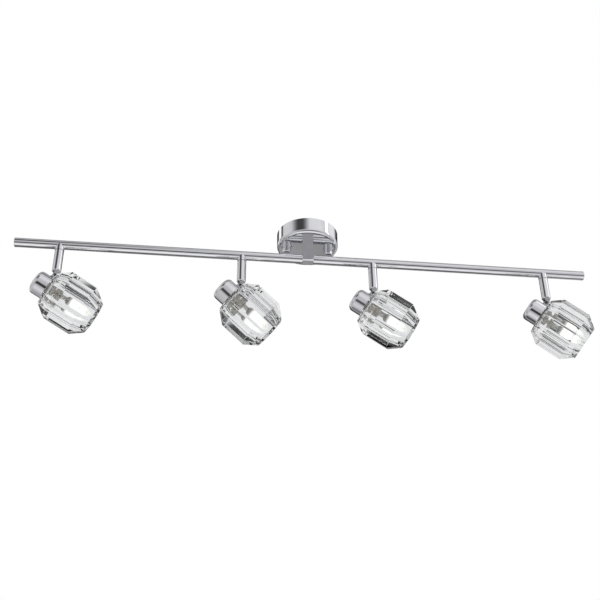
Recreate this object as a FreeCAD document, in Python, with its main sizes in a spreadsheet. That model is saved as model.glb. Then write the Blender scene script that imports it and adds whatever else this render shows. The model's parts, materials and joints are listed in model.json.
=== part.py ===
"""Four-lamp ceiling spotlight bar, in millimetres.

The origin is the centre of the ceiling bracket's upper face: +Z is up, the bar runs along X, and the
front of the fixture faces -Y. Everything hangs below z = 0. Each lamp is modelled in its own frame,
with +X forward along the lamp's axis, +Z towards its hinge and the origin at the centre of the cup's
front rim, and is then placed by its swivel angle and its tilt.
"""
import FreeCAD, Part
import math
import os
import re
import Sketcher

DIMENSIONS = {
    # ceiling bracket
    "bracket_length": 70, "bracket_width": 18, "bracket_thickness": 2,
    "slot_spacing": 30, "slot_length": 10, "slot_radius": 2.25,
    "ear_width": 16, "ear_reach": 24, "earth_ear_width": 10, "earth_ear_reach": 18, "earth_place": 13.5,
    "stud_spacing": 55, "stud_radius": 2, "stud_end": 28.5,
    # canopy and its cap nuts
    "canopy_radius": 40, "canopy_height": 21.5, "canopy_wall": 1, "canopy_round": 4.2,
    "nut_flange_radius": 7.5, "nut_flange": 1.2, "nut_radius": 5.75, "nut_height": 8.2, "nut_bevel": 0.7,
    # terminal block
    "block_length": 26, "block_depth": 11, "block_height": 10, "block_front": 13,
    "wire_hole_radius": 1.6, "wire_pitch": 8, "block_screw_radius": 1.5, "block_screw": 2,
    "block_screw_sink": 0.2,
    # earth terminal
    "earth_washer_radius": 4.5, "earth_washer": 1, "earth_head_radius": 3.4, "earth_head": 2.4,
    "earth_slot": 0.9, "earth_slot_depth": 0.8,
    # hub, nipple and what fastens it
    "bar_drop": 38, "hub_width": 14, "hub_below": 6.4, "hub_round": 6, "nipple_radius": 5,
    "nipple_bore": 3.5, "nipple_low": 32.5, "nipple_high": 15, "washer_radius": 9, "washer_thickness": 1,
    "locknut_radius": 8.1, "locknut_height": 3.5, "fit_gap": 0.05,
    # bar
    "bar_length": 750, "tube_radius": 6, "tube_wall": 1, "collar_gap": 1, "collar_radius": 6.5,
    "collar_length": 1.8, "collar_bore": 3, "spigot_depth": 5, "plug_depth": 8,
    "cap_length": 3, "cap_radius": 6.1, "cap_bevel": 0.6, "lead_radius": 1.5, "lead_bend": 4,
    "lead_offset": 1.6, "lead_level": 7, "lead_turn": 5,
    # bosses and stems, measured down from the bar's axis
    "stem_inner": 86, "stem_outer": 318, "boss_radius": 5.9, "boss_end": 9.5, "boss_bore": 4.05,
    "wire_way": 4.3, "seam": 0.6, "stem_radius": 5.75, "stem_end": 40.9, "stem_bevel": 0.9,
    "stem_bore": 2.6, "pivot_radius": 4, "pivot_top": 5.2, "groove_radius": 3.2, "groove_half": 1.2,
    "screw_level": 7.6, "set_screw_radius": 1.25, "set_tip_radius": 0.9, "set_tip_end": 3.5,
    "set_body_end": 4.3, "set_head": 5.7, "set_hex": 0.75, "set_hex_depth": 0.9,
    # hinge
    "hinge_drop": 44.5, "neck_radius": 3.95, "neck_length": 6, "neck_bore": 1.8, "fork_disc_radius": 4.7,
    "fork_disc": 0.3, "eye_radius": 3.2, "cheek": 2, "blade": 3, "blade_gap": 0.15, "hinge_pin": 1.5,
    "screw_head_radius": 2.7, "screw_head": 1.3, "driver_slot": 0.7, "driver_depth": 0.6,
    "hinge_radial": 24.3, "hinge_setback": 4.7, "foot_radius": 4.2, "foot_height": 2,
    "foot_stud": 2.4, "foot_stud_depth": 3,
    # lamp cup, lampholder and shade ring
    "cup_radius": 15.2, "cup_wall": 1, "cup_length": 20, "cup_round": 5.5,
    "holder_back": 13, "holder_rear_radius": 9, "holder_flange": 2, "holder_radius": 10,
    "holder_front": 17, "rib_depth": 0.7, "rib_pitch": 2.4, "rib_count": 6, "pin_spacing": 9,
    "socket_radius": 0.9, "socket_depth": 8, "ring_radius": 13.9, "ring_length": 4,
    "ring_notch": 1.1, "ring_notches": 12,
    # crystal shade and bulb
    "glass_back": 24, "glass_widest": 35, "glass_rim": 22.5, "glass_shoulder": 14, "glass_waist": 50,
    "glass_length": 65.5, "glass_hole": 11, "glass_floor": 4, "glass_bore": 18, "glass_round": 5,
    "pinch_front": 28, "pinch_width": 12, "pinch_thickness": 4.5, "bulb_back": 26, "bulb_tip": 51,
    "bulb_radius": 8, "bulb_pin": 0.6, "bulb_pin_depth": 6, "bulb_back_round": 3,
}
# number, side of the hub and distance along the bar, then degrees: swivel about the stem, tilt below
# the horizon, and how far round its own axis the shade was when its ring was tightened
LAMPS = (
    (1, -1, "stem_outer", 15, 26, 2),
    (2, -1, "stem_inner", 14, 39, 1),
    (3, 1, "stem_inner", 0, 34, 7),
    (4, 1, "stem_outer", -2, 37, -19),
)

# how far the middle of a quarter round lies from its two tangents, as a share of its radius
ARC_MIDDLE = 1 - math.sqrt(0.5)

doc = FreeCAD.newDocument("spotlight_bar")
sheet = doc.addObject("Spreadsheet::Sheet", "sizes")
for row, (word, number) in enumerate(DIMENSIONS.items(), start=1):
    sheet.set(f"A{row}", word)
    sheet.set(f"B{row}", str(number))
    sheet.setAlias(f"B{row}", word)
doc.recompute()

subparts = []


def formula(text):
    """Turn words of the sheet into references that an expression can read."""
    return re.sub(r"[a-z_]+", lambda found: "sizes." + found.group(), str(text))


def size(text):
    """The present value of a formula on the sheet."""
    return float(sheet.evalExpression(formula(text)))


def bind(item, **formulas):
    """Bind properties such as Radius or Placement.Base.x, written Base_x, to the sheet."""
    for name, text in formulas.items():
        path = name.replace("Base_", "Placement.Base.")
        item.setExpression(path, formula(text))


def keep(item, label):
    """Name a finished sub-part and list it for export."""
    item.Label = label
    subparts.append(item)
    return item


# ---------------------------------------------------------------- sketches and features


def new_body(label):
    body = doc.addObject("PartDesign::Body", label)
    body.Label = label
    return body


def flat_sketch(body, role, lift="0"):
    plane = next(item for item in body.Origin.OriginFeatures if item.Role == role)
    sketch = body.newObject("Sketcher::SketchObject", body.Name + "_sketch")
    sketch.AttachmentSupport = (plane, "")
    sketch.MapMode = "FlatFace"
    sketch.setExpression("AttachmentOffset.Base.z", formula(lift))
    return sketch


def dimension(sketch, kind, geometry, point, text):
    constraint = Sketcher.Constraint(kind, geometry, point, size(text))
    index = sketch.addConstraint(constraint)
    sketch.setExpression(f"Constraints[{index}]", formula(text))


def draw_outline(sketch, corners):
    """Draw one closed outline, whose corners are pairs of formulas."""
    first = sketch.GeometryCount
    spots = [FreeCAD.Vector(size(across), size(up), 0) for across, up in corners]
    for start, end in zip(spots, spots[1:] + spots[:1]):
        sketch.addGeometry(Part.LineSegment(start, end))
    for step in range(len(corners)):
        following = first + (step + 1) % len(corners)
        sketch.addConstraint(Sketcher.Constraint("Coincident", first + step, 2, following, 1))
    for step, (across, up) in enumerate(corners):
        dimension(sketch, "DistanceX", first + step, 1, across)
        dimension(sketch, "DistanceY", first + step, 1, up)


def draw_circle(sketch, across, up, radius):
    centre = FreeCAD.Vector(size(across), size(up), 0)
    circle = sketch.addGeometry(Part.Circle(centre, FreeCAD.Vector(0, 0, 1), size(radius)))
    dimension(sketch, "DistanceX", circle, 3, across)
    dimension(sketch, "DistanceY", circle, 3, up)
    index = sketch.addConstraint(Sketcher.Constraint("Radius", circle, size(radius)))
    sketch.setExpression(f"Constraints[{index}]", formula(radius))


def draw_polygon(sketch, sides, radius):
    """Draw a regular polygon with a corner up, held in a construction circle."""
    turn = 2 * math.pi / sides
    reach = size(radius)
    spots = []
    for step in range(sides):
        angle = turn * step
        spots.append(FreeCAD.Vector(reach * math.sin(angle), reach * math.cos(angle), 0))
    for start, end in zip(spots, spots[1:] + spots[:1]):
        sketch.addGeometry(Part.LineSegment(start, end))
    circle = sketch.addGeometry(Part.Circle(FreeCAD.Vector(), FreeCAD.Vector(0, 0, 1), reach), True)
    sketch.addConstraint(Sketcher.Constraint("Coincident", circle, 3, -1, 1))
    for step in range(sides):
        sketch.addConstraint(Sketcher.Constraint("Coincident", step, 2, (step + 1) % sides, 1))
        sketch.addConstraint(Sketcher.Constraint("PointOnObject", step, 1, circle))
    for step in range(sides - 1):
        sketch.addConstraint(Sketcher.Constraint("Equal", step, step + 1))
    sketch.addConstraint(Sketcher.Constraint("PointOnObject", 0, 1, -2))
    index = sketch.addConstraint(Sketcher.Constraint("Radius", circle, reach))
    sketch.setExpression(f"Constraints[{index}]", formula(radius))


def revolve(body, corners, axis, kind="Revolution"):
    """Turn an outline in the XZ plane about H_Axis (X) or V_Axis (Z)."""
    sketch = flat_sketch(body, "XZ_Plane")
    draw_outline(sketch, corners)
    turn = body.newObject("PartDesign::" + kind, body.Name + "_turn")
    turn.Profile = sketch
    turn.ReferenceAxis = (sketch, [axis])
    turn.Angle = 360
    doc.recompute()
    return turn


def pocket(body, sketch, reverse=False):
    """Cut a sketch right through to one side, and make sure that it cut something."""
    before = body.Shape.Volume
    cut = body.newObject("PartDesign::Pocket", body.Name + "_pocket")
    cut.Profile = sketch
    cut.Type = "ThroughAll"
    cut.Reversed = reverse
    doc.recompute()
    if body.Shape.Volume >= before - 1e-6:
        raise ValueError(body.Label + ": the pocket cut nothing")
    return cut


def round_edges(body, radius, wanted):
    """Round the edges of the body's tip for which wanted(edge) is true."""
    doc.recompute()
    tip = body.Tip
    names = [f"Edge{place}" for place, edge in enumerate(tip.Shape.Edges, start=1) if wanted(edge)]
    fillet = body.newObject("PartDesign::Fillet", body.Name + "_round")
    fillet.Base = (tip, names)
    fillet.setExpression("Radius", formula(radius))
    doc.recompute()
    return fillet


def circle_edge(edge, radius, axis, place):
    """True for a circular edge of this radius whose centre is at this place along the axis."""
    if not isinstance(edge.Curve, Part.Circle):
        return False
    centre = getattr(edge.Curve.Center, axis)
    return abs(edge.Curve.Radius - radius) < 1e-4 and abs(centre - place) < 1e-4


# ---------------------------------------------------------------- primitives


def cylinder(radius, height, direction="z", **base):
    item = doc.addObject("Part::Cylinder", "cylinder")
    bind(item, Radius=radius, Height=height)
    turns = {
        "z": FreeCAD.Rotation(),
        "x": FreeCAD.Rotation(FreeCAD.Vector(0, 1, 0), 90),
        "y": FreeCAD.Rotation(FreeCAD.Vector(1, 0, 0), -90),
    }
    item.Placement.Rotation = turns[direction]
    bind(item, **base)
    return item


def box(length, width, height, **base):
    item = doc.addObject("Part::Box", "box")
    bind(item, Length=length, Width=width, Height=height, **base)
    return item


def fuse(*items):
    item = doc.addObject("Part::MultiFuse", "fuse")
    item.Shapes = list(items)
    return item


def cut(base, *tools):
    item = doc.addObject("Part::Cut", "cut")
    item.Base = base
    item.Tool = tools[0] if len(tools) == 1 else fuse(*tools)
    return item


def group(*items):
    item = doc.addObject("Part::Compound", "group")
    item.Links = list(items)
    return item


# ---------------------------------------------------------------- ceiling bracket and canopy


def slot_cutter(side):
    """A ceiling screw's slot, side -1 or 1 of the bracket's centre."""
    depth = "3 * bracket_thickness"
    low = "-2 * bracket_thickness"
    centre = f"{side} * slot_spacing / 2"
    half = "(slot_length / 2 - slot_radius)"
    ends = [cylinder("slot_radius", depth, Base_x=f"{centre} + {end} * {half}", Base_z=low)
            for end in (-1, 1)]
    middle = box(f"2 * {half}", "2 * slot_radius", depth,
                 Base_x=f"{centre} - {half}", Base_y="-slot_radius", Base_z=low)
    return fuse(*ends, middle)


def make_bracket():
    strip = box("bracket_length", "bracket_width", "bracket_thickness",
                Base_x="-bracket_length / 2", Base_y="-bracket_width / 2", Base_z="-bracket_thickness")
    ear = box("ear_width", "ear_reach", "bracket_thickness",
              Base_x="-ear_width / 2", Base_z="-bracket_thickness")
    earth_ear = box("earth_ear_width", "earth_ear_reach", "bracket_thickness",
                    Base_x="-earth_ear_width / 2", Base_y="-earth_ear_reach", Base_z="-bracket_thickness")
    holes = [cylinder("stud_radius + fit_gap", "3 * bracket_thickness",
                      Base_x=f"{side} * stud_spacing / 2", Base_z="-2 * bracket_thickness")
             for side in (-1, 1)]
    plate = cut(fuse(strip, ear, earth_ear), slot_cutter(-1), slot_cutter(1), *holes)
    keep(plate, "mounting_bracket")


def make_studs():
    studs = [cylinder("stud_radius", "stud_end", Base_x=f"{side} * stud_spacing / 2", Base_z="-stud_end")
             for side in (-1, 1)]
    keep(group(*studs), "bracket_studs")


def make_canopy():
    body = new_body("canopy")
    revolve(body, (
        ("0", "-canopy_height"),
        ("canopy_radius", "-canopy_height"),
        ("canopy_radius", "0"),
        ("canopy_radius - canopy_wall", "0"),
        ("canopy_radius - canopy_wall", "canopy_wall - canopy_height"),
        ("0", "canopy_wall - canopy_height"),
    ), "V_Axis")
    rim = size("canopy_radius")
    low = size("-canopy_height")
    wall = size("canopy_wall")
    round_edges(body, "canopy_round", lambda edge: circle_edge(edge, rim, "z", low))
    round_edges(body, "canopy_round - canopy_wall",
                lambda edge: circle_edge(edge, rim - wall, "z", low + wall))
    holes = flat_sketch(body, "XY_Plane")
    draw_circle(holes, "0", "0", "nipple_radius + fit_gap")
    draw_circle(holes, "-stud_spacing / 2", "0", "stud_radius + 4 * fit_gap")
    draw_circle(holes, "stud_spacing / 2", "0", "stud_radius + 4 * fit_gap")
    pocket(body, holes)
    keep(body, "canopy")


def make_cap_nut(side):
    body = new_body("cap_nut")
    revolve(body, (
        ("stud_radius + fit_gap", "0"),
        ("nut_flange_radius - nut_bevel / 2", "0"),
        ("nut_flange_radius", "-nut_bevel / 2"),
        ("nut_flange_radius", "-nut_flange"),
        ("nut_radius", "-nut_flange"),
        ("nut_radius", "nut_bevel - nut_height"),
        ("nut_radius - nut_bevel", "-nut_height"),
        ("0", "-nut_height"),
        ("0", "canopy_height - stud_end - fit_gap"),
        ("stud_radius + fit_gap", "canopy_height - stud_end - fit_gap"),
    ), "V_Axis")
    bind(body, Base_x=f"{side} * stud_spacing / 2", Base_z="-canopy_height")
    return body


def make_terminal_block():
    """A three-way block under the bracket's ear, with wire holes along Y and screws from below."""
    block = box("block_length", "block_depth", "block_height", Base_x="-block_length / 2",
                Base_y="block_front", Base_z="-bracket_thickness - block_height")
    tools = []
    screws = []
    for place in (-1, 0, 1):
        across = f"{place} * wire_pitch"
        tools.append(cylinder("wire_hole_radius", "block_depth + 2", "y", Base_x=across,
                              Base_y="block_front - 1", Base_z="-lead_level"))
        bottom = "-bracket_thickness - block_height"
        middle = "block_front + block_depth / 2"
        tools.append(cylinder("block_screw_radius + fit_gap", "1 + block_screw_sink + block_screw + fit_gap",
                              Base_x=across, Base_y=middle, Base_z=f"{bottom} - 1"))
        screws.append(cylinder("block_screw_radius", "block_screw", Base_x=across,
                               Base_y=middle, Base_z=f"{bottom} + block_screw_sink"))
    keep(cut(block, *tools), "terminal_block")
    keep(group(*screws), "terminal_screws")


def make_earth_terminal():
    """A washer and a slotted screw head under the bracket's front ear."""
    under = "-bracket_thickness - earth_washer"
    face = f"{under} - earth_head"
    washer = cylinder("earth_washer_radius", "earth_washer", Base_y="-earth_place", Base_z=under)
    head = cylinder("earth_head_radius", "earth_head", Base_y="-earth_place", Base_z=face)
    slot = box("3 * earth_head_radius", "earth_slot", "earth_slot_depth", Base_x="-1.5 * earth_head_radius",
               Base_y="-earth_place - earth_slot / 2", Base_z=face)
    keep(cut(fuse(washer, head), slot), "earth_terminal")


# ---------------------------------------------------------------- hub and bar


def make_hub():
    """The block under the canopy that both collars enter. Its lower rear edge is well rounded."""
    bottom = "-bar_drop - hub_below"
    block = box("hub_width", "hub_width", "bar_drop + hub_below - canopy_height",
                Base_x="-hub_width / 2", Base_y="-hub_width / 2", Base_z=bottom)
    cross = cylinder("nipple_radius + fit_gap", "hub_width + 2", "x",
                     Base_x="-hub_width / 2 - 1", Base_z="-bar_drop")
    upright = cylinder("nipple_radius + fit_gap", "bar_drop - canopy_height + 1", Base_z="-bar_drop")
    middle = "hub_width / 2 - hub_round"
    square = box("hub_width + 2", "hub_round + 1", "hub_round + 1", Base_x="-hub_width / 2 - 1",
                 Base_y=middle, Base_z=f"{bottom} - 1")
    rounded = cylinder("hub_round", "hub_width + 4", "x", Base_x="-hub_width / 2 - 2",
                       Base_y=middle, Base_z=f"{bottom} + hub_round")
    keep(cut(block, cross, upright, cut(square, rounded)), "hub_block")


def make_nipple():
    outer = cylinder("nipple_radius", "nipple_low - nipple_high", Base_z="-nipple_low")
    inner = cylinder("nipple_bore", "nipple_low - nipple_high + 2", Base_z="-nipple_low - 1")
    keep(cut(outer, inner), "hub_nipple")


def make_washer_and_locknut():
    floor = "canopy_wall - canopy_height"
    disc = cylinder("washer_radius", "washer_thickness", Base_z=floor)
    hole = cylinder("nipple_radius + fit_gap", "washer_thickness + 2", Base_z=f"{floor} - 1")
    keep(cut(disc, hole), "hub_washer")
    hexagon = doc.addObject("Part::Prism", "hexagon")
    hexagon.Polygon = 6
    seat = f"{floor} + washer_thickness"
    bind(hexagon, Circumradius="locknut_radius", Height="locknut_height", Base_z=seat)
    thread = cylinder("nipple_radius + fit_gap", "locknut_height + 2", Base_z=f"{seat} - 1")
    keep(cut(hexagon, thread), "hub_locknut")


def face_side(body, side):
    """Turn a piece made for the right arm to its own side, at the height of the bar."""
    body.Placement.Rotation = FreeCAD.Rotation(FreeCAD.Vector(0, 0, 1), 0 if side > 0 else 180)
    bind(body, Base_z="-bar_drop")
    return body


def make_collar(side, label):
    """The turned sleeve that joins an arm to the hub: spigot, neck, flange and plug."""
    face = "hub_width / 2"
    flange = f"{face} + collar_gap"
    body = new_body(label)
    revolve(body, (
        (f"{face} - spigot_depth", "collar_bore"),
        (f"{face} - spigot_depth", "tube_radius - tube_wall - fit_gap"),
        (flange, "tube_radius - tube_wall - fit_gap"),
        (flange, "collar_radius"),
        (f"{flange} + collar_length", "collar_radius"),
        (f"{flange} + collar_length", "tube_radius - tube_wall - fit_gap"),
        (f"{flange} + collar_length + plug_depth", "tube_radius - tube_wall - fit_gap"),
        (f"{flange} + collar_length + plug_depth", "collar_bore"),
    ), "H_Axis")
    keep(face_side(body, side), label)


def make_arm(side, label):
    """A bar tube, with a wire way through its lower wall above each stem."""
    start = "hub_width / 2 + collar_gap + collar_length"
    end = "bar_length / 2 - cap_length"
    body = new_body(label)
    revolve(body, (
        (start, "tube_radius - tube_wall"),
        (start, "tube_radius"),
        (end, "tube_radius"),
        (end, "tube_radius - tube_wall"),
    ), "H_Axis")
    holes = flat_sketch(body, "XY_Plane")
    draw_circle(holes, "stem_inner", "0", "wire_way")
    draw_circle(holes, "stem_outer", "0", "wire_way")
    pocket(body, holes)
    keep(face_side(body, side), label)


def make_end_cap(side, label):
    face = "bar_length / 2 - cap_length"
    body = new_body(label)
    revolve(body, (
        (f"{face} - plug_depth", "0"),
        (f"{face} - plug_depth", "tube_radius - tube_wall - fit_gap"),
        (face, "tube_radius - tube_wall - fit_gap"),
        (face, "cap_radius"),
        ("bar_length / 2 - cap_bevel", "cap_radius"),
        ("bar_length / 2", "cap_radius - cap_bevel"),
        ("bar_length / 2", "0"),
    ), "H_Axis")
    keep(face_side(body, side), label)


def quarter_bend(bend, from_axis, to_axis, **base):
    """A quarter of a ring of lead, from one direction out of its centre to another."""
    item = doc.addObject("Part::Torus", "bend")
    item.Angle3 = 90
    bind(item, Radius1=bend, Radius2="lead_radius")
    item.Placement.Rotation = FreeCAD.Rotation(from_axis, to_axis, from_axis.cross(to_axis), "XYZ")
    bind(item, **base)
    return item


def make_lead(side, label):
    """The lead from an arm, up through the hub and the nipple and across to the terminal block."""
    upright = f"{side} * lead_offset"
    straight = "stem_outer - lead_offset - lead_bend"
    inward = FreeCAD.Vector(-side, 0, 0)
    up = FreeCAD.Vector(0, 0, 1)
    front = FreeCAD.Vector(0, -1, 0)
    along = cylinder("lead_radius", straight, "x", Base_z="-bar_drop",
                     Base_x="-stem_outer" if side < 0 else "lead_offset + lead_bend")
    low = quarter_bend("lead_bend", inward, -up, Base_x=f"{side} * (lead_offset + lead_bend)",
                       Base_z="lead_bend - bar_drop")
    rise = cylinder("lead_radius", "bar_drop - lead_bend - lead_level - lead_turn",
                    Base_x=upright, Base_z="lead_bend - bar_drop")
    high = quarter_bend("lead_turn", front, up, Base_x=upright, Base_y="lead_turn",
                        Base_z="-lead_level - lead_turn")
    across = cylinder("lead_radius", "block_front - lead_turn", "y", Base_x=upright,
                      Base_y="lead_turn", Base_z="-lead_level")
    keep(fuse(along, low, rise, high, across), label)


# ---------------------------------------------------------------- bosses and stems


def make_boss(number, side, distance):
    """The short socket welded under the bar, coped to the tube and bored for the stem's pivot."""
    post = cylinder("boss_radius", "boss_end", Base_z="-boss_end")
    bore = cylinder("boss_bore", "boss_end + 2", Base_z="-boss_end - 1")
    tube = cylinder("tube_radius", "4 * boss_radius", "x", Base_x="-2 * boss_radius")
    thread = cylinder("set_screw_radius + fit_gap", "boss_radius + 1", "y", Base_z="-screw_level")
    boss = cut(post, bore, tube, thread)
    bind(boss, Base_x=f"{side} * {distance}", Base_z="-bar_drop")
    keep(boss, f"boss_{number}")


def make_set_screw(side, distance):
    """A grub screw in the back of a boss, whose tip runs in the groove of the stem's pivot."""
    tip = cylinder("set_tip_radius", "set_body_end - set_tip_end", "y", Base_y="set_tip_end")
    shank = cylinder("set_screw_radius", "set_head - set_body_end", "y", Base_y="set_body_end")
    key = doc.addObject("Part::Prism", "key")
    key.Polygon = 6
    key.Placement.Rotation = FreeCAD.Rotation(FreeCAD.Vector(1, 0, 0), -90)
    bind(key, Circumradius="set_hex", Height="set_hex_depth + 1", Base_y="set_head - set_hex_depth")
    screw = cut(fuse(tip, shank), key)
    bind(screw, Base_x=f"{side} * {distance}", Base_z="-bar_drop - screw_level")
    return screw


def make_stem(number, swivel):
    """The hollow stem: grooved pivot, shoulder under the boss, and a bevelled lower end."""
    body = new_body(f"stem_{number}")
    top = "-boss_end - seam"
    revolve(body, (
        ("stem_bore", "-pivot_top"),
        ("pivot_radius", "-pivot_top"),
        ("pivot_radius", "groove_half - screw_level"),
        ("groove_radius", "groove_half - screw_level"),
        ("groove_radius", "-groove_half - screw_level"),
        ("pivot_radius", "-groove_half - screw_level"),
        ("pivot_radius", top),
        ("stem_radius", top),
        ("stem_radius", "stem_bevel - stem_end"),
        ("stem_radius - stem_bevel", "-stem_end"),
        ("neck_radius + fit_gap", "-stem_end"),
        ("neck_radius + fit_gap", "neck_length - stem_end"),
        ("stem_bore", "neck_length - stem_end"),
    ), "V_Axis")
    body.Placement = swivel
    keep(body, f"stem_{number}")


# ---------------------------------------------------------------- hinge


def make_fork(number, swivel):
    """The fork in the stem's end, with two cheeks about the hinge axis, which runs along Y."""
    neck = cylinder("neck_radius", "neck_length", Base_z="-stem_end")
    disc = cylinder("fork_disc_radius", "fork_disc", Base_z="-stem_end - fork_disc")
    width = "2 * cheek + blade + 2 * blade_gap"
    side = f"-({width}) / 2"
    plate = box("2 * eye_radius", width, "hinge_drop - stem_end - fork_disc",
                Base_x="-eye_radius", Base_y=side, Base_z="-hinge_drop")
    eye = cylinder("eye_radius", width, "y", Base_y=side, Base_z="-hinge_drop")
    gap = box("4 * eye_radius", "blade + 2 * blade_gap",
              "hinge_drop - stem_end - fork_disc + 2 * eye_radius", Base_x="-2 * eye_radius",
              Base_y="-blade / 2 - blade_gap", Base_z="-hinge_drop - 2 * eye_radius")
    pin = cylinder("hinge_pin + fit_gap", "4 * cheek + blade", "y",
                   Base_y="-2 * cheek - blade / 2", Base_z="-hinge_drop")
    wires = cylinder("neck_bore", "neck_length + fork_disc + 2", Base_z="-stem_end - fork_disc - 1")
    fork = cut(fuse(neck, disc, plate, eye), gap, pin, wires)
    fork.Placement = swivel
    keep(fork, f"fork_{number}")


def make_hinge_screw(number, swivel):
    cheek_face = "blade / 2 + blade_gap + cheek"
    shank = cylinder("hinge_pin", f"2 * ({cheek_face})", "y",
                     Base_y=f"-({cheek_face})", Base_z="-hinge_drop")
    head = cylinder("screw_head_radius", "screw_head", "y",
                    Base_y=f"-({cheek_face}) - screw_head", Base_z="-hinge_drop")
    slot = box("3 * screw_head_radius", "driver_depth", "driver_slot", Base_x="-1.5 * screw_head_radius",
               Base_y=f"-({cheek_face}) - screw_head", Base_z="-hinge_drop - driver_slot / 2")
    screw = cut(fuse(shank, head), slot)
    screw.Placement = swivel
    keep(screw, f"hinge_screw_{number}")


def make_lug(number, lamp):
    """The lug on the cup: eye and blade between the cheeks, a coped foot, and a stud into the cup."""
    blade = box("2 * eye_radius", "blade", "hinge_radial - cup_radius", Base_x="-hinge_setback - eye_radius",
                Base_y="-blade / 2", Base_z="cup_radius")
    eye = cylinder("eye_radius", "blade", "y", Base_x="-hinge_setback",
                   Base_y="-blade / 2", Base_z="hinge_radial")
    foot = cylinder("foot_radius", "foot_height + 2", Base_x="-hinge_setback",
                    Base_z="cup_radius - 2")
    cup = cylinder("cup_radius", "4 * foot_radius", "x", Base_x="-hinge_setback - 2 * foot_radius")
    pin = cylinder("hinge_pin + fit_gap", "3 * blade", "y", Base_x="-hinge_setback",
                   Base_y="-1.5 * blade", Base_z="hinge_radial")
    stud = cylinder("foot_stud", "foot_stud_depth + 1", Base_x="-hinge_setback",
                    Base_z="cup_radius - foot_stud_depth")
    lug = fuse(cut(fuse(blade, eye, foot), cup, pin), stud)
    lug.Placement = lamp
    keep(lug, f"hinge_lug_{number}")


# ---------------------------------------------------------------- lamp


def make_cup(number, lamp):
    body = new_body(f"lamp_cup_{number}")
    revolve(body, (
        ("-cup_length", "0"),
        ("-cup_length", "cup_radius"),
        ("0", "cup_radius"),
        ("0", "cup_radius - cup_wall"),
        ("cup_wall - cup_length", "cup_radius - cup_wall"),
        ("cup_wall - cup_length", "0"),
    ), "H_Axis")
    back = size("-cup_length")
    radius = size("cup_radius")
    wall = size("cup_wall")
    round_edges(body, "cup_round", lambda edge: circle_edge(edge, radius, "x", back))
    round_edges(body, "cup_round - cup_wall",
                lambda edge: circle_edge(edge, radius - wall, "x", back + wall))
    hole = flat_sketch(body, "XY_Plane")
    draw_circle(hole, "-hinge_setback", "0", "foot_stud + fit_gap")
    pocket(body, hole, reverse=True)
    body.Placement = lamp
    keep(body, f"lamp_cup_{number}")


def make_lampholder(number, lamp):
    """The ceramic holder: rear body, flange in the cup's mouth, ribbed nose and two pin sockets."""
    body = new_body(f"lampholder_{number}")
    nose = [("0", "holder_radius")]
    for rib in range(DIMENSIONS["rib_count"]):
        start = f"holder_front - (rib_count - {rib}) * rib_pitch"
        nose.append((start, "holder_radius"))
        nose.append((f"{start} + rib_pitch / 4", "holder_radius - rib_depth"))
        nose.append((f"{start} + rib_pitch / 2", "holder_radius - rib_depth"))
        nose.append((f"{start} + 3 * rib_pitch / 4", "holder_radius"))
    revolve(body, (
        ("-holder_back", "0"),
        ("-holder_back", "holder_rear_radius"),
        ("-holder_flange", "holder_rear_radius"),
        ("-holder_flange", "cup_radius - cup_wall - fit_gap"),
        ("0", "cup_radius - cup_wall - fit_gap"),
        *nose,
        ("holder_front", "holder_radius"),
        ("holder_front", "0"),
    ), "H_Axis")
    sockets = flat_sketch(body, "YZ_Plane", "holder_front - socket_depth")
    draw_circle(sockets, "-pin_spacing / 2", "0", "socket_radius")
    draw_circle(sockets, "pin_spacing / 2", "0", "socket_radius")
    pocket(body, sockets, reverse=True)
    body.Placement = lamp
    keep(body, f"lampholder_{number}")


def make_shade_ring(number, lamp):
    """The threaded ring that clamps the shade's neck, with finger notches round its edge."""
    body = new_body(f"shade_ring_{number}")
    back = "glass_floor + fit_gap"
    revolve(body, (
        (back, "holder_radius + fit_gap"),
        (back, "ring_radius - ring_notch"),
        (f"{back} + ring_notch", "ring_radius"),
        (f"{back} + ring_length", "ring_radius"),
        (f"{back} + ring_length", "holder_radius + fit_gap"),
    ), "H_Axis")
    notch = flat_sketch(body, "YZ_Plane")
    draw_circle(notch, "0", "ring_radius", "ring_notch")
    first = pocket(body, notch, reverse=True)
    pattern = body.newObject("PartDesign::PolarPattern", body.Name + "_pattern")
    pattern.Originals = [first]
    pattern.Axis = (notch, ["N_Axis"])
    pattern.Angle = 360
    pattern.setExpression("Occurrences", formula("ring_notches"))
    body.Tip = pattern
    doc.recompute()
    body.Placement = lamp
    keep(body, f"shade_ring_{number}")


def make_shade(number, lamp):
    """The crystal shade: eight sides in three tiers, with a round bore open at the front."""
    body = new_body(f"crystal_shade_{number}")
    sections = []
    tiers = (("0", "glass_back"), ("glass_shoulder", "glass_widest"),
             ("glass_waist", "glass_widest"), ("glass_length", "glass_rim"))
    for place, radius in tiers:
        section = flat_sketch(body, "YZ_Plane", place)
        draw_polygon(section, 8, radius)
        sections.append(section)
    doc.recompute()
    loft = body.newObject("PartDesign::AdditiveLoft", body.Name + "_loft")
    loft.Profile = sections[0]
    loft.Sections = sections[1:]
    loft.Ruled = True
    doc.recompute()
    before = body.Shape.Volume
    revolve(body, (
        ("-1", "0"),
        ("-1", "glass_hole"),
        ("glass_floor", "glass_hole"),
        ("glass_floor", "glass_bore - glass_round"),
        (f"glass_floor + {ARC_MIDDLE} * glass_round", f"glass_bore - {ARC_MIDDLE} * glass_round"),
        ("glass_floor + glass_round", "glass_bore"),
        ("glass_length + 1", "glass_bore"),
        ("glass_length + 1", "0"),
    ), "H_Axis", "Groove")
    if body.Shape.Volume > 0.9 * before:
        raise ValueError("the bore of the shade cut nothing")
    body.Placement = lamp
    keep(body, f"crystal_shade_{number}")


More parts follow.
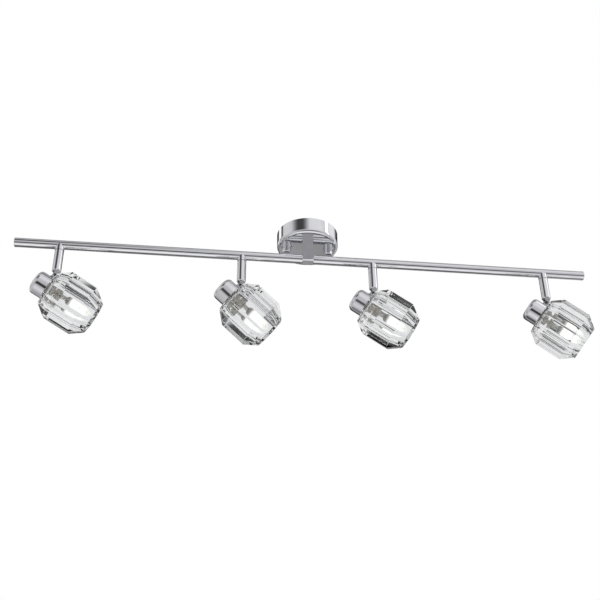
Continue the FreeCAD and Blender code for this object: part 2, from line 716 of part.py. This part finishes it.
def make_bulb(number, lamp):
    """The capsule bulb: frosted envelope, flat pinch and two pins."""
    envelope = new_body(f"envelope_{number}")
    revolve(envelope, (
        ("bulb_back", "0"),
        ("bulb_back", "bulb_radius"),
        ("bulb_tip", "bulb_radius"),
        ("bulb_tip", "0"),
    ), "H_Axis")
    radius = size("bulb_radius")
    tip = size("bulb_tip")
    back = size("bulb_back")
    round_edges(envelope, "bulb_radius - fit_gap", lambda edge: circle_edge(edge, radius, "x", tip))
    round_edges(envelope, "bulb_back_round", lambda edge: circle_edge(edge, radius, "x", back))
    pinch = box("pinch_front - holder_front", "pinch_width", "pinch_thickness",
                Base_x="holder_front", Base_y="-pinch_width / 2", Base_z="-pinch_thickness / 2")
    pins = [cylinder("bulb_pin", "bulb_pin_depth + 1", "x", Base_x="holder_front - bulb_pin_depth",
                     Base_y=f"{side} * pin_spacing / 2") for side in (-1, 1)]
    bulb = fuse(envelope, pinch, *pins)
    bulb.Placement = lamp
    keep(bulb, f"bulb_{number}")


def make_lamp(number, side, distance, yaw, tilt, turn):
    """Everything that hangs from one boss, at the angles in which it was left."""
    foot = FreeCAD.Vector(side * size(distance), 0, -size("bar_drop"))
    swivel = FreeCAD.Placement(foot, FreeCAD.Rotation(FreeCAD.Vector(0, 0, 1), yaw))
    hinge = FreeCAD.Placement(FreeCAD.Vector(0, 0, -size("hinge_drop")),
                              FreeCAD.Rotation(FreeCAD.Vector(0, 1, 0), tilt))
    offset = FreeCAD.Vector(size("hinge_setback"), 0, -size("hinge_radial"))
    lamp = swivel * hinge * FreeCAD.Placement(offset, FreeCAD.Rotation())
    make_boss(number, side, distance)
    make_stem(number, swivel)
    make_fork(number, swivel)
    make_hinge_screw(number, swivel)
    make_lug(number, lamp)
    make_cup(number, lamp)
    make_lampholder(number, lamp)
    make_shade_ring(number, lamp)
    spin = FreeCAD.Rotation(FreeCAD.Vector(1, 0, 0), turn)
    make_shade(number, lamp * FreeCAD.Placement(FreeCAD.Vector(), spin))
    make_bulb(number, lamp)


def export_all():
    doc.recompute()
    for item in doc.Objects:
        if "Invalid" in item.State or "Error" in item.State:
            raise ValueError(f"{item.Label} failed: {item.State}")
    for item in subparts:
        if item.Shape.isNull() or not item.Shape.isValid() or not item.Shape.Solids:
            raise ValueError(f"{item.Label} has no valid solid")
    os.makedirs("parts", exist_ok=True)
    for item in subparts:
        item.Shape.exportStep(f"parts/{item.Label}.step")
    print(len(subparts), "sub-parts")


make_bracket()
make_studs()
make_canopy()
keep(group(make_cap_nut(-1), make_cap_nut(1)), "cap_nuts")
make_terminal_block()
make_earth_terminal()
make_nipple()
make_washer_and_locknut()
make_hub()
for arm_side, arm_name in ((-1, "left"), (1, "right")):
    make_collar(arm_side, f"{arm_name}_collar")
    make_arm(arm_side, f"{arm_name}_arm")
    make_end_cap(arm_side, f"{arm_name}_end_cap")
    make_lead(arm_side, f"{arm_name}_lead")
for lamp_row in LAMPS:
    make_lamp(*lamp_row)
keep(group(*[make_set_screw(row[1], row[2]) for row in LAMPS]), "stem_set_screws")
export_all()
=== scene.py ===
"""The looks of a ceiling spotlight bar: chrome, cut crystal and lit capsule bulbs, round the CAD frame.

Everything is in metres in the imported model's frame: the ceiling is z = 0, the bar runs along X, and
the front faces -Y. A lamp's own frame has +X forward along the lamp, +Z towards its hinge, and its
origin at the centre of the cup's front rim. It is found from the lamp's tilt joint.
"""

import json
import math

import bmesh
import bpy
from mathutils import Matrix, Vector


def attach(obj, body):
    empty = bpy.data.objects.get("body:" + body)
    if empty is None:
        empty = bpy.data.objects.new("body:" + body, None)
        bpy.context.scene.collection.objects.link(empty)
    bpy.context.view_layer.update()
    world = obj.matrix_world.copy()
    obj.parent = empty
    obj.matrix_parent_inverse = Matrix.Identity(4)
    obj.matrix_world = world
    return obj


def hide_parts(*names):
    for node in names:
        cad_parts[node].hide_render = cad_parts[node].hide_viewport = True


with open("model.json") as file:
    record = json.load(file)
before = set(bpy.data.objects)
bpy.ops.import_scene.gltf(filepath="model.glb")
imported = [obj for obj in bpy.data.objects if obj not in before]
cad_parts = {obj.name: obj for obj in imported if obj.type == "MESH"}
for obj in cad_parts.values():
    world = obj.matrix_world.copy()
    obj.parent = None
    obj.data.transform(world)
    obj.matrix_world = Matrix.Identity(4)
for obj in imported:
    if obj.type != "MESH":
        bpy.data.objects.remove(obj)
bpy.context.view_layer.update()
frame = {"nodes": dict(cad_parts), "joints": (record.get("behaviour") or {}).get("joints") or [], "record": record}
MM = 0.001
LAMPS = (1, 2, 3, 4)

# the lamp's own sizes, in millimetres along and round its axis
HINGE_SETBACK = 4.7
HINGE_RADIAL = 24.3
SHADE_TIERS = ((0.0, 24.0), (14.0, 35.0), (50.0, 35.0), (65.5, 22.5))
SHADE_HOLE = 11.0
SHADE_FLOOR = 4.0
SHADE_BORE = 18.0
SHADE_ROUND = 5.0
SHADE_SIDES = 8
BORE_STEPS_PER_SIDE = 12
BORE_ROUND_STEPS = 6
EDGE_POLISH = 0.22
SMOOTH_BELOW_DEGREES = 25
BULB_RADIUS = 8.0
BULB_BACK = 26.0
BULB_TIP = 51.0
BULB_SHOULDER = 3.4
BULB_SIDES = 48
SHOULDER_STEPS = 8
WALL_STEPS = 10
DOME_STEPS = 14
# the pressed pinch behind the bulb: place, width and depth of each section
PINCH_SECTIONS = ((17.0, 11.6, 4.2), (18.0, 12.0, 4.5), (23.5, 12.0, 4.5), (25.0, 11.4, 5.2),
                  (26.6, 10.4, 6.6))
PINCH_SIDES = 32
PINCH_SQUARENESS = 0.45
# where along the lamp a bulb's glow begins, is full, starts to fade and ends; the first two also end the painted
# shade that darkens the bulb's rear
LIT_FROM = 30.0
LIT_FULL = 35.0
LIT_LAST = 41.0
LIT_END = 56.0
# the part of a studio card's width and height over which each edge fades
METAL_FADE = 0.42
GLASS_FADE = 0.03
# the middle of the object, which the cards face, and the floor under it, in metres
CARD_AIM = -0.08
FLOOR_LEVEL = -1.9
FLOOR_SIZE = 30
# a card's blue, against its red and green
CARD_BLUE = 1.01
# what the chrome sees between the cards, and what the glass sees behind itself
ROOM_GREY = (0.56, 0.56, 0.575, 1)
THROUGH_GREY = (0.80, 0.80, 0.81, 1)
# how far each shade is turned in its ring, in degrees
SHADE_TURN = {1: 2, 2: 1, 3: 7, 4: -19}


# ------------------------------------------------------------------------------ places

def lamp_matrix(number):
    """The lamp's own frame. At the end of its tilt a lamp points straight down."""
    joint = next(j for j in frame["joints"] if j["name"] == f"lamp_{number}_tilt")
    across = Vector(joint["axis"]).normalized()
    level = across.cross(Vector((0, 0, 1))).normalized()
    tilt = math.radians(90 - joint["range_deg"][1])
    forward = Matrix.Rotation(tilt, 3, across) @ level
    up = forward.cross(across)
    hinge = Vector(joint["pos_m"])
    origin = hinge + forward * HINGE_SETBACK * MM - up * HINGE_RADIAL * MM
    matrix = Matrix((forward, across, up)).transposed().to_4x4()
    matrix.translation = origin
    return matrix


# ------------------------------------------------------------------------------ materials

def new_material(name):
    material = bpy.data.materials.new(name)
    material.use_nodes = True
    tree = material.node_tree
    return material, tree, tree.nodes["Principled BSDF"]


def add_node(tree, kind, **settings):
    node = tree.nodes.new(kind)
    for name, value in settings.items():
        if name in node.inputs:
            node.inputs[name].default_value = value
        else:
            setattr(node, name, value)
    return node


def noise(tree, scale, detail=3.0):
    """Noise in the object's own space, so that it stays with the object."""
    place = add_node(tree, "ShaderNodeTexCoord")
    texture = add_node(tree, "ShaderNodeTexNoise", Scale=scale, Detail=detail)
    tree.links.new(place.outputs["Object"], texture.inputs["Vector"])
    return texture.outputs["Fac"]


def ramp(tree, source, low, high):
    """Map a 0 to 1 value on to a range of numbers."""
    node = add_node(tree, "ShaderNodeMapRange")
    node.inputs["To Min"].default_value = low
    node.inputs["To Max"].default_value = high
    tree.links.new(source, node.inputs["Value"])
    return node.outputs["Result"]


def colours(tree, source, low, high):
    """Blend two colours by a 0 to 1 value."""
    node = add_node(tree, "ShaderNodeValToRGB")
    for element, place, colour in zip(node.color_ramp.elements, (0.3, 0.7), (low, high)):
        element.position = place
        element.color = (*colour, 1)
    tree.links.new(source, node.inputs["Fac"])
    return node.outputs["Color"]


def bumped(tree, shader, source, strength, distance):
    bump = add_node(tree, "ShaderNodeBump", Strength=strength, Distance=distance)
    tree.links.new(source, bump.inputs["Height"])
    tree.links.new(bump.outputs["Normal"], shader.inputs["Normal"])


def metal(name, pale, dark, smooth, rough, grain=90.0, wave=0.0):
    """Metal with a faint change of colour, polish marks in its roughness, and a slight waviness."""
    material, tree, shader = new_material(name)
    shader.inputs["Metallic"].default_value = 1.0
    blotches = noise(tree, grain, 3.0)
    marks = noise(tree, grain * 14, 5.0)
    tree.links.new(colours(tree, blotches, dark, pale), shader.inputs["Base Color"])
    tree.links.new(ramp(tree, marks, smooth, rough), shader.inputs["Roughness"])
    if wave:
        bumped(tree, shader, marks, wave, 0.00004)
    return material


def plastic(name, pale, dark, smooth, rough, grain, depth):
    material, tree, shader = new_material(name)
    speckle = noise(tree, grain, 6.0)
    tree.links.new(colours(tree, speckle, dark, pale), shader.inputs["Base Color"])
    tree.links.new(ramp(tree, speckle, smooth, rough), shader.inputs["Roughness"])
    bumped(tree, shader, speckle, 0.5, depth)
    return material


def crystal_material():
    """Clear cut glass, with a hair of polish waviness."""
    material, tree, shader = new_material("cut_crystal")
    shader.inputs["Transmission Weight"].default_value = 1.0
    shader.inputs["IOR"].default_value = 1.52
    shader.inputs["Base Color"].default_value = (0.985, 0.99, 0.99, 1)
    polish = noise(tree, 160.0, 2.0)
    tree.links.new(ramp(tree, polish, 0.0, 0.012), shader.inputs["Roughness"])
    bumped(tree, shader, noise(tree, 45.0, 1.0), 0.03, 0.0004)
    return material


def bulb_material():
    """Frosted glass, brightest round the filament, less bright at the tip and dim towards the pinch, partly by
    painted shade.
    """
    material, tree, shader = new_material("frosted_glow_and_painted_shade")
    frost = noise(tree, 700.0, 4.0)
    front = add_node(tree, "ShaderNodeAttribute")
    front.attribute_name = "front"
    # painted shade: the base colour goes from dark grey near the pinch to pale frosted white in front of it
    tree.links.new(colours(tree, front.outputs["Fac"], (0.36, 0.36, 0.34), (0.90, 0.90, 0.88)),
                   shader.inputs["Base Color"])
    tree.links.new(ramp(tree, frost, 0.3, 0.45), shader.inputs["Roughness"])
    warm = colours(tree, frost, (1.0, 0.97, 0.90), (1.0, 0.99, 0.96))
    tree.links.new(warm, shader.inputs["Emission Color"])
    lit = add_node(tree, "ShaderNodeAttribute")
    lit.attribute_name = "lit"
    tree.links.new(ramp(tree, lit.outputs["Fac"], 0.0, 0.9), shader.inputs["Emission Strength"])
    bumped(tree, shader, frost, 0.3, 0.00003)
    return material


def clear_glass_material():
    material, tree, shader = new_material("quartz_pinch")
    shader.inputs["Base Color"].default_value = (0.82, 0.82, 0.8, 1)
    shader.inputs["Transmission Weight"].default_value = 0.35
    press = noise(tree, 420.0, 3.0)
    tree.links.new(ramp(tree, press, 0.06, 0.22), shader.inputs["Roughness"])
    bumped(tree, shader, press, 0.4, 0.00008)
    return material


MATERIALS = {
    "chrome_plate": metal("mirror_chrome", (0.86, 0.86, 0.88), (0.80, 0.80, 0.83), 0.015, 0.05),
    "dark_chrome": metal("dark_chrome", (0.50, 0.50, 0.52), (0.40, 0.40, 0.42), 0.08, 0.18),
    "zinc_steel": metal("zinc_steel", (0.66, 0.67, 0.69), (0.55, 0.56, 0.60), 0.28, 0.48, 60.0, 0.2),
    "brass_screw": metal("brass", (0.80, 0.63, 0.34), (0.70, 0.53, 0.27), 0.18, 0.34, 90.0, 0.15),
    "ring_aluminium": metal("satin_aluminium", (0.82, 0.82, 0.82), (0.74, 0.74, 0.75), 0.16, 0.30,
                            90.0, 0.1),
    "steatite": plastic("steatite", (0.66, 0.63, 0.57), (0.50, 0.47, 0.42), 0.45, 0.7, 900.0, 0.00008),
    "terminal_nylon": plastic("nylon", (0.90, 0.89, 0.85), (0.84, 0.83, 0.79), 0.3, 0.45, 700.0,
                              0.00004),
    "lead_jacket": plastic("lead_jacket", (0.86, 0.86, 0.85), (0.80, 0.80, 0.80), 0.22, 0.35, 500.0,
                           0.00004),
    "crystal": crystal_material(),
    "frosted_bulb": bulb_material(),
}
CLEAR_GLASS = clear_glass_material()


def paint_cad_nodes():
    slots = {row["node"]: row["material_slot"] for row in frame["record"]["subparts"]}
    for name, item in frame["nodes"].items():
        item.data.materials.clear()
        item.data.materials.append(MATERIALS[slots[name]])


# ------------------------------------------------------------------------------ mesh helpers

def new_piece(name, mesh, body, slot, *nodes, finish=None):
    """A piece of the object in place of CAD nodes, riding on a body."""
    data = bpy.data.meshes.new(name)
    mesh.to_mesh(data)
    mesh.free()
    data.materials.append(finish or MATERIALS[slot])
    piece = bpy.data.objects.new(name, data)
    bpy.context.scene.collection.objects.link(piece)
    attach(piece, body)
    if nodes:
        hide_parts(*nodes)


def add_ring(mesh, place, radius, sides, turn=0.0):
    """A ring of points round the lamp's axis, the first one towards the hinge."""
    ring = []
    for step in range(sides):
        angle = turn + 2 * math.pi * step / sides
        across, up = -radius * math.sin(angle), radius * math.cos(angle)
        ring.append(mesh.verts.new((place * MM, across * MM, up * MM)))
    return ring


def skin(mesh, rings, smooth):
    """Join rings of equal count by four-sided faces."""
    for one, other in zip(rings, rings[1:]):
        for step in range(len(one)):
            following = (step + 1) % len(one)
            face = mesh.faces.new((one[step], one[following], other[following], other[step]))
            face.smooth = smooth


def bridge(mesh, outer, inner):
    """Fill the flat band between a polygon and a circle whose count is a multiple of it."""
    share = len(inner) // len(outer)
    half = share // 2
    for step, corner in enumerate(outer):
        following = outer[(step + 1) % len(outer)]
        middle = step * share + half
        for place in range(step * share, middle):
            mesh.faces.new((corner, inner[place], inner[place + 1]))
        mesh.faces.new((corner, inner[middle], following))
        for place in range(middle, (step + 1) * share):
            mesh.faces.new((following, inner[place], inner[(place + 1) % len(inner)]))


# ------------------------------------------------------------------------------ crystal shades

def build_shade(number):
    """Eight sides in three tiers with polished edges, and a round bore that is open at the front."""
    mesh = bmesh.new()
    turn = math.radians(SHADE_TURN[number])
    outside = [add_ring(mesh, place, radius, SHADE_SIDES, turn) for place, radius in SHADE_TIERS]
    bore = [(SHADE_TIERS[0][0], SHADE_HOLE), (SHADE_FLOOR, SHADE_HOLE)]
    for step in range(BORE_ROUND_STEPS + 1):
        angle = math.pi / 2 * step / BORE_ROUND_STEPS
        bore.append((SHADE_FLOOR + SHADE_ROUND * (1 - math.cos(angle)),
                     SHADE_BORE - SHADE_ROUND + SHADE_ROUND * math.sin(angle)))
    bore.append((SHADE_TIERS[-1][0], SHADE_BORE))
    bore_steps = SHADE_SIDES * BORE_STEPS_PER_SIDE
    inside = [add_ring(mesh, place, radius, bore_steps, turn) for place, radius in bore]
    skin(mesh, outside, False)
    skin(mesh, inside[::-1], True)
    bridge(mesh, outside[0], inside[0])
    bridge(mesh, outside[-1], inside[-1])
    bmesh.ops.recalc_face_normals(mesh, faces=mesh.faces)
    corners = set(vertex for ring in outside for vertex in ring)
    sharp = [edge for edge in mesh.edges if edge.verts[0] in corners and edge.verts[1] in corners]
    bmesh.ops.bevel(mesh, geom=sharp, offset=EDGE_POLISH * MM, segments=2, profile=0.5, affect="EDGES")
    for edge in mesh.edges:
        bend = edge.calc_face_angle(0.0)
        edge.smooth = len(edge.link_faces) == 2 and bend < math.radians(SMOOTH_BELOW_DEGREES)
    bmesh.ops.transform(mesh, matrix=lamp_matrix(number), verts=mesh.verts)
    new_piece(f"cut_crystal_shade_{number}", mesh, f"lamp_{number}", "crystal",
              f"crystal_shade_{number}")


# ------------------------------------------------------------------------------ bulbs

def bulb_outline():
    """Pairs of place and radius: a rounded shoulder, a straight wall and a half-round tip."""
    flat = BULB_RADIUS - BULB_SHOULDER
    shoulder = BULB_BACK + BULB_SHOULDER
    dome = BULB_TIP - BULB_RADIUS
    outline = [(BULB_BACK, 0)]
    for step in range(SHOULDER_STEPS + 1):
        angle = math.pi / 2 * step / SHOULDER_STEPS
        outline.append((BULB_BACK + BULB_SHOULDER * (1 - math.cos(angle)),
                        flat + BULB_SHOULDER * math.sin(angle)))
    for step in range(1, WALL_STEPS):
        outline.append((shoulder + (dome - shoulder) * step / WALL_STEPS, BULB_RADIUS))
    for step in range(DOME_STEPS):
        angle = math.pi / 2 * step / DOME_STEPS
        outline.append((dome + BULB_RADIUS * math.sin(angle), BULB_RADIUS * math.cos(angle)))
    return outline + [(BULB_TIP, 0)]


def turn_outline(mesh, outline):
    """Turn an outline about the lamp's axis; its two ends lie on the axis."""
    rings = [add_ring(mesh, place, radius, BULB_SIDES) for place, radius in outline[1:-1]]
    skin(mesh, rings, True)
    for (place, _), ring in ((outline[0], rings[0]), (outline[-1], rings[-1])):
        tip = mesh.verts.new((place * MM, 0, 0))
        for step in range(BULB_SIDES):
            mesh.faces.new((ring[step], ring[(step + 1) % BULB_SIDES], tip)).smooth = True


def mark_glow(mesh):
    """Store at each point how brightly it glows, and whether it is in front of the pinch, clear of the painted
    shade.
    """
    lit = mesh.verts.layers.float.new("lit")
    front = mesh.verts.layers.float.new("front")
    for vertex in mesh.verts:
        rise = (vertex.co.x / MM - LIT_FROM) / (LIT_FULL - LIT_FROM)
        fall = (LIT_END - vertex.co.x / MM) / (LIT_END - LIT_LAST)
        vertex[lit] = min(1.0, max(0.0, min(rise, fall)))
        vertex[front] = min(1.0, max(0.0, rise))


def squared(value):
    """Push a sine or cosine outwards, which squares a circle."""
    return math.copysign(abs(value) ** PINCH_SQUARENESS, value)


def build_bulb(number):
    """The capsule's frosted envelope and its pressed pinch."""
    placing = lamp_matrix(number)
    envelope = bmesh.new()
    turn_outline(envelope, bulb_outline())
    bmesh.ops.recalc_face_normals(envelope, faces=envelope.faces)
    mark_glow(envelope)
    bmesh.ops.transform(envelope, matrix=placing, verts=envelope.verts)
    new_piece(f"capsule_{number}", envelope, f"lamp_{number}", "frosted_bulb", f"bulb_{number}")

    pinch = bmesh.new()
    rings = []
    for place, width, depth in PINCH_SECTIONS:
        ring = []
        for step in range(PINCH_SIDES):
            angle = 2 * math.pi * step / PINCH_SIDES
            side, high = squared(math.cos(angle)), squared(math.sin(angle))
            ring.append(pinch.verts.new((place * MM, side * width * MM / 2, high * depth * MM / 2)))
        rings.append(ring)
    skin(pinch, rings, True)
    pinch.faces.new(rings[0])
    pinch.faces.new(rings[-1])
    bmesh.ops.recalc_face_normals(pinch, faces=pinch.faces)
    bmesh.ops.transform(pinch, matrix=placing, verts=pinch.verts)
    new_piece(f"bulb_pinch_{number}", pinch, f"lamp_{number}", "frosted_bulb", finish=CLEAR_GLASS)


# ------------------------------------------------------------------------------ stage

def soft_edges(tree, width):
    """One in the middle of a card, fading to nothing at its four edges."""
    place = add_node(tree, "ShaderNodeTexCoord")
    split = add_node(tree, "ShaderNodeSeparateXYZ")
    tree.links.new(place.outputs["UV"], split.inputs[0])
    sides = []
    for axis in ("X", "Y"):
        shift = add_node(tree, "ShaderNodeMath", operation="SUBTRACT")
        shift.inputs[1].default_value = 0.5
        tree.links.new(split.outputs[axis], shift.inputs[0])
        reach = add_node(tree, "ShaderNodeMath", operation="ABSOLUTE")
        tree.links.new(shift.outputs[0], reach.inputs[0])
        fade = add_node(tree, "ShaderNodeMapRange", interpolation_type="SMOOTHSTEP")
        fade.inputs["From Min"].default_value = 0.5
        fade.inputs["From Max"].default_value = 0.5 - width
        tree.links.new(reach.outputs[0], fade.inputs["Value"])
        sides.append(fade)
    both = add_node(tree, "ShaderNodeMath", operation="MULTIPLY")
    tree.links.new(sides[0].outputs["Result"], both.inputs[0])
    tree.links.new(sides[1].outputs["Result"], both.inputs[1])
    return both.outputs[0]


def add_card(name, azimuth, elevation, width, height, glow, seen, distance):
    """A studio card or soft box that faces the object, seen only in the metal or only in the glass.

    Azimuth 0 is in front of the object (-Y), 90 to its right (+X); elevation is above the horizon.
    """
    bpy.ops.mesh.primitive_plane_add(size=1)
    card = bpy.context.object
    card.name = name
    turn, rise = math.radians(azimuth), math.radians(elevation)
    away = Vector((math.sin(turn) * math.cos(rise), -math.cos(turn) * math.cos(rise), math.sin(rise)))
    card.location = Vector((0, 0, CARD_AIM)) + away * distance
    card.rotation_mode = "QUATERNION"
    card.rotation_quaternion = (-away).to_track_quat("Z", "Y")
    card.scale = (width, height, 1)
    material = bpy.data.materials.new(name)
    material.use_nodes = True
    tree = material.node_tree
    tree.nodes.clear()
    light = add_node(tree, "ShaderNodeEmission", Color=(glow, glow, glow * CARD_BLUE, 1), Strength=1.0)
    fade = METAL_FADE if seen == "metal" else GLASS_FADE
    clear = add_node(tree, "ShaderNodeBsdfTransparent")
    edge = add_node(tree, "ShaderNodeMixShader")
    tree.links.new(soft_edges(tree, fade), edge.inputs["Fac"])
    tree.links.new(clear.outputs[0], edge.inputs[1])
    tree.links.new(light.outputs[0], edge.inputs[2])
    output = add_node(tree, "ShaderNodeOutputMaterial")
    tree.links.new(edge.outputs[0], output.inputs["Surface"])
    card.data.materials.append(material)
    card.visible_camera = False
    card.visible_diffuse = False
    card.visible_shadow = False
    card.visible_glossy = seen == "metal"
    card.visible_transmission = seen == "glass"


# name, azimuth and elevation in degrees, width and height in metres, brightness, seen in, distance in
# metres
CARDS = (
    ("flag_top", 0, 88, 5.0, 1.1, 0.10, "metal", 2.4),
    ("flag_high_back", 180, 38, 6.0, 2.3, 0.02, "metal", 2.4),
    ("flag_back", -170, 0, 5.0, 2.6, 0.02, "metal", 2.4),
    ("grey_low_back", 180, -34, 1.5, 1.2, 0.34, "metal", 2.3),
    ("box_left", -92, 33, 3.2, 3.0, 0.70, "metal", 2.4),
    ("flag_far_left", -117, 31, 0.6, 3.2, 0.10, "metal", 2.3),
    ("strip_left", -134, 31, 0.9, 3.2, 1.2, "metal", 2.3),
    ("box_front", 28, 35, 4.6, 2.8, 0.80, "metal", 2.4),
    ("flag_front_left", -33, 36, 2.7, 2.3, 0.06, "metal", 2.3),
    ("grey_hub", 8, -36, 1.1, 1.0, 0.38, "metal", 2.2),
    ("strip_right", 71, 30, 0.55, 3.0, 2.2, "metal", 2.3),
    ("box_right", 98, 30, 3.0, 3.2, 0.90, "metal", 2.4),
    ("flag_right", 150, 31, 3.0, 3.4, 0.03, "metal", 2.35),
    ("flag_camera_side", 0, -25, 6.4, 1.7, 0.02, "metal", 2.4),
    ("box_low", 0, -76, 6.0, 2.9, 1.0, "metal", 2.4),
    ("flag_low_back", 180, -48, 6.4, 2.9, 0.02, "metal", 2.35),
    ("glass_flag_top", 0, 88, 1.9, 1.6, 0.02, "glass", 2.4),
    ("glass_flag_camera", -8, -34, 1.9, 1.9, 0.01, "glass", 2.4),
    ("glass_flag_left", -90, 5, 1.7, 1.7, 0.03, "glass", 2.4),
    ("glass_flag_right", 90, 5, 1.2, 1.6, 0.05, "glass", 2.4),
    ("glass_flag_behind", 180, 0, 0.7, 0.8, 0.02, "glass", 2.4),
    ("glass_flag_behind_right", 145, 34, 0.8, 1.3, 0.02, "glass", 2.4),
    ("glass_flag_behind_top", 180, 70, 0.9, 0.8, 0.05, "glass", 2.35),
)


def build_world():
    """White behind the object, grey in the chrome, and pale grey through the glass."""
    world = bpy.data.worlds.new("studio")
    bpy.context.scene.world = world
    world.use_nodes = True
    tree = world.node_tree
    tree.nodes.clear()
    path = add_node(tree, "ShaderNodeLightPath")
    backdrop = add_node(tree, "ShaderNodeBackground", Color=(1, 1, 1, 1), Strength=1.0)
    through = add_node(tree, "ShaderNodeBackground", Color=THROUGH_GREY, Strength=1.0)
    room = add_node(tree, "ShaderNodeBackground", Color=ROOM_GREY, Strength=1.0)
    glass = add_node(tree, "ShaderNodeMixShader")
    tree.links.new(path.outputs["Is Transmission Ray"], glass.inputs["Fac"])
    tree.links.new(backdrop.outputs[0], glass.inputs[1])
    tree.links.new(through.outputs[0], glass.inputs[2])
    mirrored = add_node(tree, "ShaderNodeMath", operation="MULTIPLY")
    tree.links.new(path.outputs["Is Glossy Ray"], mirrored.inputs[0])
    tree.links.new(path.outputs["Is Reflection Ray"], mirrored.inputs[1])
    chrome = add_node(tree, "ShaderNodeMixShader")
    tree.links.new(mirrored.outputs[0], chrome.inputs["Fac"])
    tree.links.new(glass.outputs[0], chrome.inputs[1])
    tree.links.new(room.outputs[0], chrome.inputs[2])
    output = add_node(tree, "ShaderNodeOutputWorld")
    tree.links.new(chrome.outputs[0], output.inputs["Surface"])


def build_floor():
    """A plain pale floor that the chrome doesn't reflect."""
    bpy.ops.mesh.primitive_plane_add(size=FLOOR_SIZE, location=(0, 0, FLOOR_LEVEL))
    floor = bpy.context.object
    floor.name = "floor"
    material, tree, shader = new_material("pale_floor")
    tree.links.new(colours(tree, noise(tree, 0.6), (0.86, 0.86, 0.86), (0.9, 0.9, 0.9)),
                   shader.inputs["Base Color"])
    shader.inputs["Roughness"].default_value = 0.8
    floor.data.materials.append(material)
    floor.visible_glossy = False


def add_camera():
    """Below and in front of the bar, a little to its left, looking up."""
    place = Vector((-0.1376, -1.0339, -0.747))
    yaw, pitch, roll = math.radians(7.0), math.radians(31.02), math.radians(-0.55)
    forward = Vector((math.sin(yaw) * math.cos(pitch), math.cos(yaw) * math.cos(pitch), math.sin(pitch)))
    right = Vector((math.cos(yaw), -math.sin(yaw), 0))
    up = right.cross(forward)
    tilted_right = math.cos(roll) * right + math.sin(roll) * up
    tilted_up = math.cos(roll) * up - math.sin(roll) * right
    matrix = Matrix((tilted_right, tilted_up, -forward)).transposed().to_4x4()
    matrix.translation = place
    data = bpy.data.cameras.new("camera")
    data.sensor_width = 36
    data.lens = 57.64
    data.shift_y = 0.022
    camera = bpy.data.objects.new("camera", data)
    camera.matrix_world = matrix
    bpy.context.scene.collection.objects.link(camera)
    bpy.context.scene.camera = camera


# ------------------------------------------------------------------------------ scene

add_camera()
paint_cad_nodes()
for lamp in LAMPS:
    build_shade(lamp)
    build_bulb(lamp)
for row in CARDS:
    add_card(*row)
build_world()
build_floor()
bpy.context.scene.view_settings.view_transform = "Standard"
